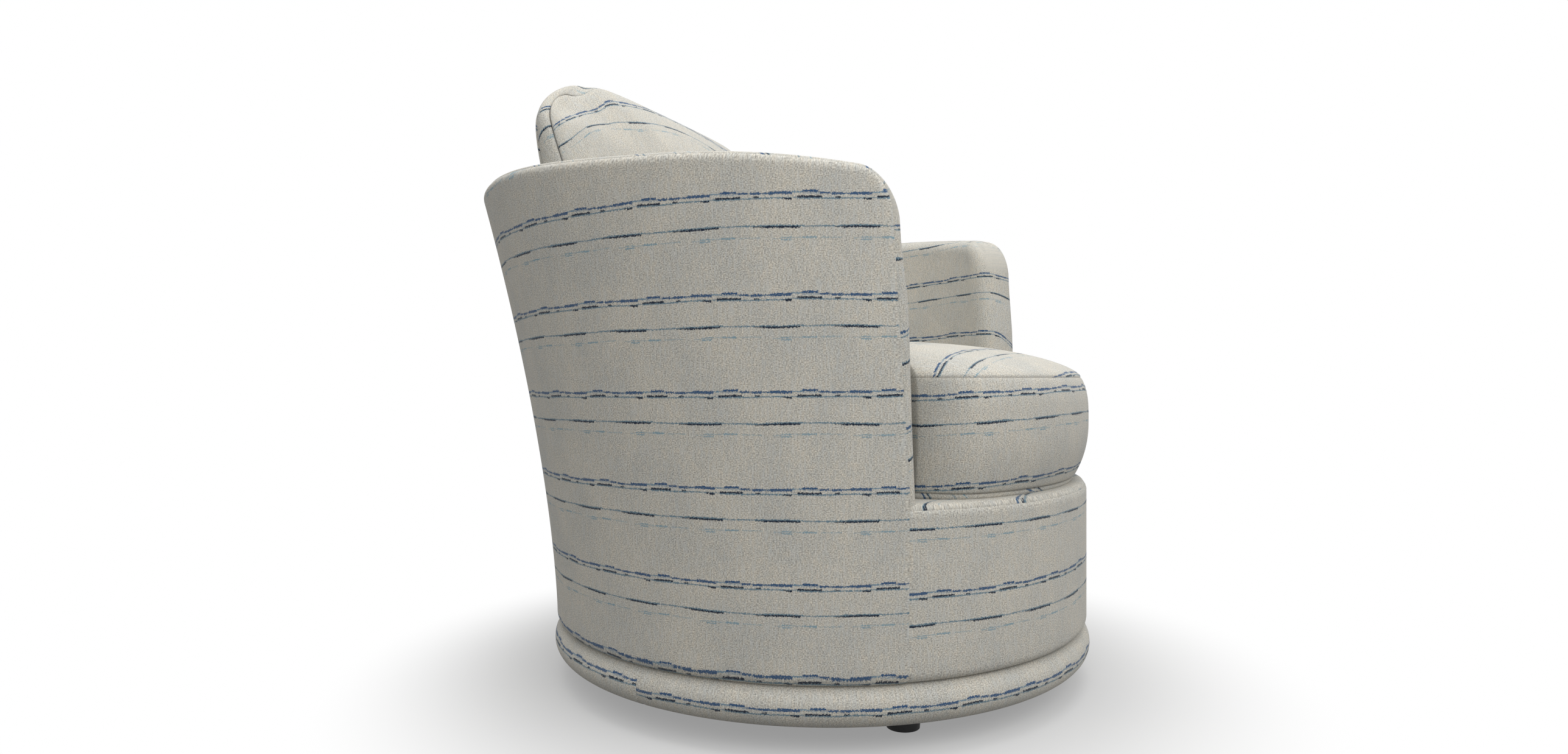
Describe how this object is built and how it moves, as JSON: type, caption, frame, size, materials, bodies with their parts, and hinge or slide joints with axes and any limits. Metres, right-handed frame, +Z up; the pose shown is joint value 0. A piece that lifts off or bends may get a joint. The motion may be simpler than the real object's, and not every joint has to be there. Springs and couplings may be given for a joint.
{
  "type": "swivel barrel chair",
  "caption": "Round upholstered swivel chair with a flared barrel back, a boxed seat cushion, a loose back pillow and a padded plinth ring on low glide feet.",
  "frame": {"origin": "on the floor, under the middle of the chair's outline seen from above; the swivel axis stands 57 mm in front of it", "axes": "+Z up, front of the chair towards -Y, sitter's left arm towards +X"},
  "size_m": [0.8292, 0.8839, 0.8456],
  "materials": {
    "upholstery": "matte",
    "dust_cloth": "matte",
    "foam": "matte",
    "zip_tape": "matte",
    "black_plastic": "satin",
    "plywood": "matte",
    "hardwood": "matte",
    "zinc_steel": "satin",
    "spring_wire": "satin",
    "ball_steel": "polished",
    "cage_brass": "satin"
  },
  "bodies": {
    "base": {"glide_feet": "black_plastic", "foot_screws": "zinc_steel", "dust_cover": "dust_cloth", "base_board": "plywood", "base_hoop": "plywood", "ring_pad": "foam", "ring_cover": "upholstery", "lower_swivel_plate": "zinc_steel", "lower_plate_bolts": "zinc_steel"},
    "ball_ring": {"bearing_balls": "ball_steel", "ball_cage": "cage_brass"},
    "seat": {"upper_swivel_plate": "zinc_steel", "upper_plate_bolts": "zinc_steel", "centre_pin": "zinc_steel", "centre_pin_nut": "zinc_steel", "seat_base_board": "plywood", "back_ribs": "plywood", "arm_posts": "hardwood", "seat_posts": "hardwood", "front_rail": "plywood", "spring_rail": "plywood", "top_rail": "plywood", "sinuous_springs": "spring_wire", "spring_clips": "zinc_steel", "tie_wires": "spring_wire", "deck_pad": "foam", "deck_cloth": "upholstery", "outer_cover_panel": "upholstery", "inner_padded_panel": "upholstery", "rim_roll": "upholstery", "front_panel": "upholstery"},
    "seat_cushion": {"cushion_cover": "upholstery", "cushion_core": "foam", "cushion_zip": "zip_tape"},
    "back_pillow": {"pillow_cover": "upholstery", "pillow_insert": "foam"}
  },
  "joints": [
    {"name": "seat_swivel", "type": "hinge", "parent": "base", "child": "seat", "pos_m": [0, -0.057, 0.076], "axis": [0, 0, 1], "continuous": true},
    {"name": "ball_ring_orbit", "type": "hinge", "parent": "base", "child": "ball_ring", "pos_m": [0, -0.057, 0.076], "axis": [0, 0, 1], "continuous": true},
    {"name": "seat_cushion_lift", "type": "slide", "parent": "seat", "child": "seat_cushion", "axis": [0, 0, 1], "range_m": [0, 0.3]},
    {"name": "back_pillow_lift", "type": "slide", "parent": "seat_cushion", "child": "back_pillow", "axis": [0, 0, 1], "range_m": [0, 0.3]}
  ],
  "couplings": [
    {"joint": "ball_ring_orbit", "follows": "seat_swivel", "ratio": 0.5}
  ]
}
